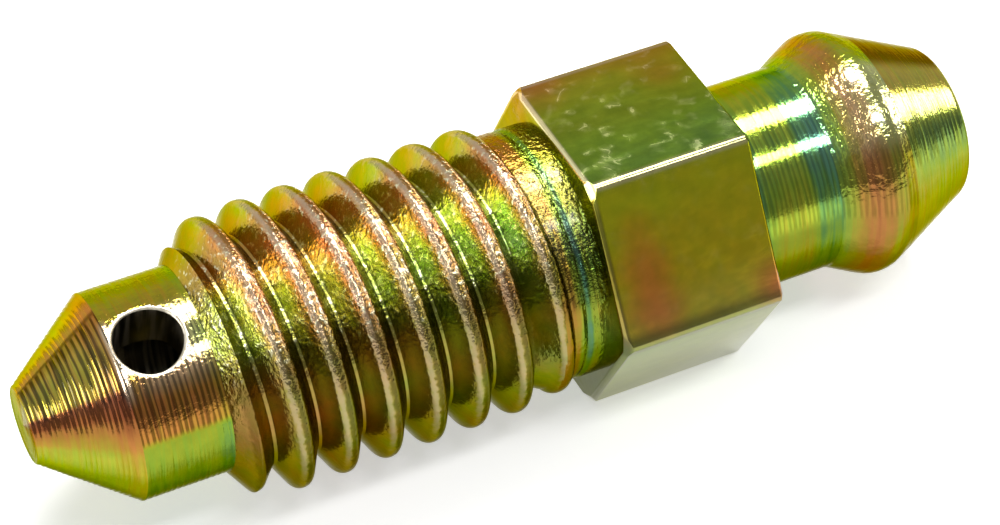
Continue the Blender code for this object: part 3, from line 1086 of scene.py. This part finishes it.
# The cross hole's drill stands on its tip on the axis. Its upper rings, as (radius, height over
# the nose's surface), follow that round surface and flare out over it, so that the cut's lip is
# equally round all the way round. They are drawn a small step apart and lifted into place after.
mouth_rings = [(CROSS_HOLE_RADIUS, -3 * MOUTH_ROUNDING)]
for step in range(MOUTH_STEPS + 1):
    turn = math.radians(90) * step / MOUTH_STEPS
    flare = MOUTH_ROUNDING * (1 - math.cos(turn))
    mouth_rings.append((CROSS_HOLE_RADIUS + flare, MOUTH_ROUNDING * (math.sin(turn) - 1)))
mouth_rings.append((CROSS_HOLE_RADIUS + 2 * MOUTH_ROUNDING, 2 * MOUTH_ROUNDING))
mouth_rings.append((CROSS_HOLE_RADIUS + 2 * MOUTH_ROUNDING, MM))

bpy.ops.object.select_all(action="DESELECT")
bpy.ops.mesh.primitive_circle_add(
    vertices=HOLE_STEPS, radius=CROSS_HOLE_RADIUS, fill_type="NGON", location=(0, 0, 0)
)
drill = bpy.context.object
drill.name = "cross_hole"
bpy.ops.object.mode_set(mode="EDIT")
bpy.ops.mesh.select_all(action="SELECT")
radius_before = CROSS_HOLE_RADIUS
for ring_radius, _ in mouth_rings:
    bpy.ops.mesh.extrude_region_move(TRANSFORM_OT_translate={"value": (0, 0, RING_STEP)})
    grown = ring_radius / radius_before
    bpy.ops.transform.resize(value=(grown, grown, 1), center_override=(0, 0, 0))
    radius_before = ring_radius
bpy.ops.object.mode_set(mode="OBJECT")
for point in drill.data.vertices:
    ring = round(point.co.z / RING_STEP)
    if ring > 0:
        over_surface = mouth_rings[ring - 1][1]
        point.co.z = math.sqrt(NOSE_RADIUS**2 - point.co.y**2) + over_surface
drill.location = (CROSS_HOLE_AT, 0, 0)
drill.rotation_euler = (CROSS_HOLE_ANGLE, 0, 0)
bpy.ops.object.transform_apply(location=True, rotation=True, scale=True)
close_and_face_outward(drill)
combine(screw, drill, "DIFFERENCE")

# The walls are dark, dull steel with the drill's rings; the dark colour is partly painted shade
# in the drillings.
DRILL_RINGS = 6.0
WALL_ROUGHNESS = (0.2, 0.3)
WALL_COLOURS = ((0.0, (0.14, 0.12, 0.08)), (1.0, (0.36, 0.32, 0.24)))
drilled_finish, tree, metal, place = start_finish("drilled_finish")
streak = use_group(tree, rings, {"Place": place, "Rings": DRILL_RINGS})["Streak"]
tree.links.new(ramp(tree, streak, WALL_COLOURS), metal["Base Color"])
tree.links.new(scaled(tree, streak, *WALL_ROUGHNESS), metal["Roughness"])

# The mouth of the cross hole is rubbed bright all the way round.
LIP_ROUGHNESS = (0.3, 0.25)
LIP_COLOURS = ((0.3, (0.62, 0.55, 0.40)), (0.7, (0.86, 0.80, 0.66)))
lip_finish, tree, metal, place = start_finish("rubbed_lip_finish")
pits = use_group(tree, tumbled, {"Place": place, "Grains": THREAD_GRAINS})["Height"]
tree.links.new(ramp(tree, pits, LIP_COLOURS), metal["Base Color"])
tree.links.new(scaled(tree, pits, *LIP_ROUGHNESS), metal["Roughness"])
metal["Coat Weight"].default_value = 1.0

# Finished screw. It is one piece of plated steel, made of the forms above, and it lies on one
# flat of its hexagon. Each face gets its finish from where it is along the screw, and in the
# drillings from how near it is to the hole's axis.

SMOOTH_UNDER = math.radians(32)
WALL_SLACK = 0.01 * MM
LIP_SHARE = 0.97
FLATTEST_WALL = 0.9
regions = (
    (CONE_END, cone_finish),
    (NOSE_END + 0.05 * MM, nose_finish),
    (THREAD_END + 0.10 * MM, thread_finish),
    (HEX_START - WALL_SLACK, shank_finish),
    (HEX_END + WALL_SLACK, hexagon_finish),
    (NECK_END - 0.10 * MM, neck_finish),
    (BARB_PEAK + 0.65 * MM, bulge_finish),
    (NIPPLE_END + MM, taper_finish),
)

screw.location = AXIS_START
bpy.ops.object.select_all(action="DESELECT")
screw.select_set(True)
bpy.context.view_layer.objects.active = screw
bpy.ops.object.transform_apply(location=True, rotation=True, scale=True)
bpy.ops.object.shade_smooth_by_angle(angle=SMOOTH_UNDER)

finishes = [finish for _, finish in regions] + [drilled_finish, lip_finish]
screw.data.materials.clear()
for finish in finishes:
    screw.data.materials.append(finish)
drill_way = Vector((0, -math.sin(CROSS_HOLE_ANGLE), math.cos(CROSS_HOLE_ANGLE)))
for face in screw.data.polygons:
    middle = face.center - AXIS_START
    from_axis = math.hypot(middle.y, middle.z)
    in_bore = middle.x > bore_bottom - MM and from_axis < BORE_RADIUS + 2 * WALL_SLACK
    hole_side = middle - Vector((CROSS_HOLE_AT, 0, 0))
    depth = hole_side.dot(drill_way)
    from_hole = (hole_side - drill_way * depth).length
    in_nose = middle.x < NOSE_END and depth > 0
    if in_nose and from_hole < CROSS_HOLE_RADIUS + WALL_SLACK:
        finish = drilled_finish
    elif in_nose and from_hole < CROSS_HOLE_RADIUS + LIP_SHARE * MOUTH_ROUNDING:
        finish = lip_finish
    elif in_bore and abs(face.normal.x) < FLATTEST_WALL:
        finish = drilled_finish
    else:
        finish = next(finish for end, finish in regions if middle.x < end)
    face.material_index = finishes.index(finish)

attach(screw, "root")
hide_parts("bleeder_screw")

# Studio. A pale table that runs out into a white backdrop, one soft box overhead and a small
# one nearer the camera. The room on the camera's side is left dim, as a photographer leaves it.

TABLE_SIZE = 4000 * MM
TABLE_GREY = (0.74, 0.74, 0.74, 1)
TABLE_ROUGHNESS = 0.9
TABLE_LIFT = 0.50
WHITE = (1, 1, 1, 1)

bpy.ops.object.select_all(action="DESELECT")
bpy.ops.mesh.primitive_plane_add(size=TABLE_SIZE, location=(0, 0, 0))
table = bpy.context.object
table.name = "pale_table"
table_paint = bpy.data.materials.new("pale_table_paint")
table_paint.use_nodes = True
tree = table_paint.node_tree
paint = tree.nodes["Principled BSDF"].inputs
paint["Base Color"].default_value = TABLE_GREY
paint["Roughness"].default_value = TABLE_ROUGHNESS
paint["Specular IOR Level"].default_value = 0.0
paint["Emission Color"].default_value = WHITE
rays = add_node(tree, "ShaderNodeLightPath").outputs
seen_or_mirrored = math_node(tree, "MAXIMUM", rays["Is Camera Ray"], rays["Is Glossy Ray"])
seen_or_mirrored = math_node(tree, "MAXIMUM", seen_or_mirrored, rays["Is Transmission Ray"])
tree.links.new(product(tree, seen_or_mirrored, TABLE_LIFT), paint["Emission Strength"])
table.data.materials.append(table_paint)

# The room's level by degrees from overhead: behind the screw is under zero, the camera over it.
# The left wall is lighter. Only mirrored rays see the room so: its fill is even and dim, and the
# camera sees plain white.
ROOM_LEVELS = (
    (-180, 0.90), (-90, 0.85), (-62, 0.66), (-38, 0.50), (0, 0.42), (38, 0.34), (60, 0.36),
    (82, 0.38), (92, 0.50), (180, 0.90),
)
LEFT_WALL = (-0.35, -0.75)
LEFT_WALL_HEIGHT = (0.15, 0.50)
LEFT_WALL_LEVEL = 0.45
FILL_LEVEL = 0.25
world = bpy.data.worlds.new("studio_room")
bpy.context.scene.world = world
world.use_nodes = True
room = world.node_tree
room_light = room.nodes["Background"].inputs
room_light["Color"].default_value = WHITE
looking = locate(room, add_node(room, "ShaderNodeTexCoord").outputs["Generated"])
room_level = ramp_round(room, looking.turn_share, ROOM_LEVELS)
left = fade(room, looking.along, *LEFT_WALL)
raised = fade(room, looking.up, *LEFT_WALL_HEIGHT)
room_level = math_node(room, "ADD", room_level, product(room, left, raised, LEFT_WALL_LEVEL))
rays = add_node(room, "ShaderNodeLightPath").outputs
seen = math_node(room, "MAXIMUM", rays["Is Camera Ray"], rays["Is Transmission Ray"])
inputs = {"Factor": rays["Is Glossy Ray"], 2: FILL_LEVEL, 3: room_level}
level = add_node(room, "ShaderNodeMix", inputs, data_type="FLOAT").outputs[0]
room.links.new(math_node(room, "MAXIMUM", seen, level), room_light["Strength"])


def soft_box(name, place, width, length, power):
    """A lamp that faces the screw, with its length along the screw and its width across it."""
    lamp = bpy.data.lights.new(name, "AREA")
    lamp.shape = "RECTANGLE"
    lamp.size = length
    lamp.size_y = width
    lamp.energy = power
    box = bpy.data.objects.new(name, lamp)
    bpy.context.scene.collection.objects.link(box)
    away = Vector(place).normalized()
    across = away.cross(Vector((1, 0, 0))).normalized()
    turned = Matrix((across.cross(away), across, away)).transposed().to_4x4()
    box.matrix_world = Matrix.Translation(place) @ turned
    box.visible_camera = False


soft_box("overhead_soft_box", (0.030, 0.038, 0.118), width=0.036, length=0.100, power=0.188)
soft_box("front_soft_box", (0.030, -0.053, 0.112), width=0.018, length=0.100, power=0.080)
soft_box("left_soft_box", (-0.130, 0.010, 0.026), width=0.070, length=0.030, power=0.058)
soft_box("right_soft_box", (0.125, 0.002, 0.044), width=0.034, length=0.030, power=0.042)

# The camera looks down on the screw from its front and left, at the angle of the photograph.
CAMERA_PLACE = Vector((-0.02557, -0.05689, 0.06162))
CAMERA_BACK = Vector((-0.3018, -0.6703, 0.6779))
CAMERA_UP = Vector((0.3027, 0.6069, 0.7349))
SENSOR_WIDTH = 36
LENS = 112.93
SEES_TO = 10
camera_data = bpy.data.cameras.new("camera")
camera = bpy.data.objects.new("camera", camera_data)
bpy.context.scene.collection.objects.link(camera)
camera_data.sensor_width = SENSOR_WIDTH
camera_data.lens = LENS
camera_data.clip_start = MM
camera_data.clip_end = SEES_TO
back = CAMERA_BACK.normalized()
right = CAMERA_UP.cross(back).normalized()
turned = Matrix((right, back.cross(right), back)).transposed().to_4x4()
camera.matrix_world = Matrix.Translation(CAMERA_PLACE) @ turned
bpy.context.scene.camera = camera
bpy.context.scene.view_settings.view_transform = "Standard"
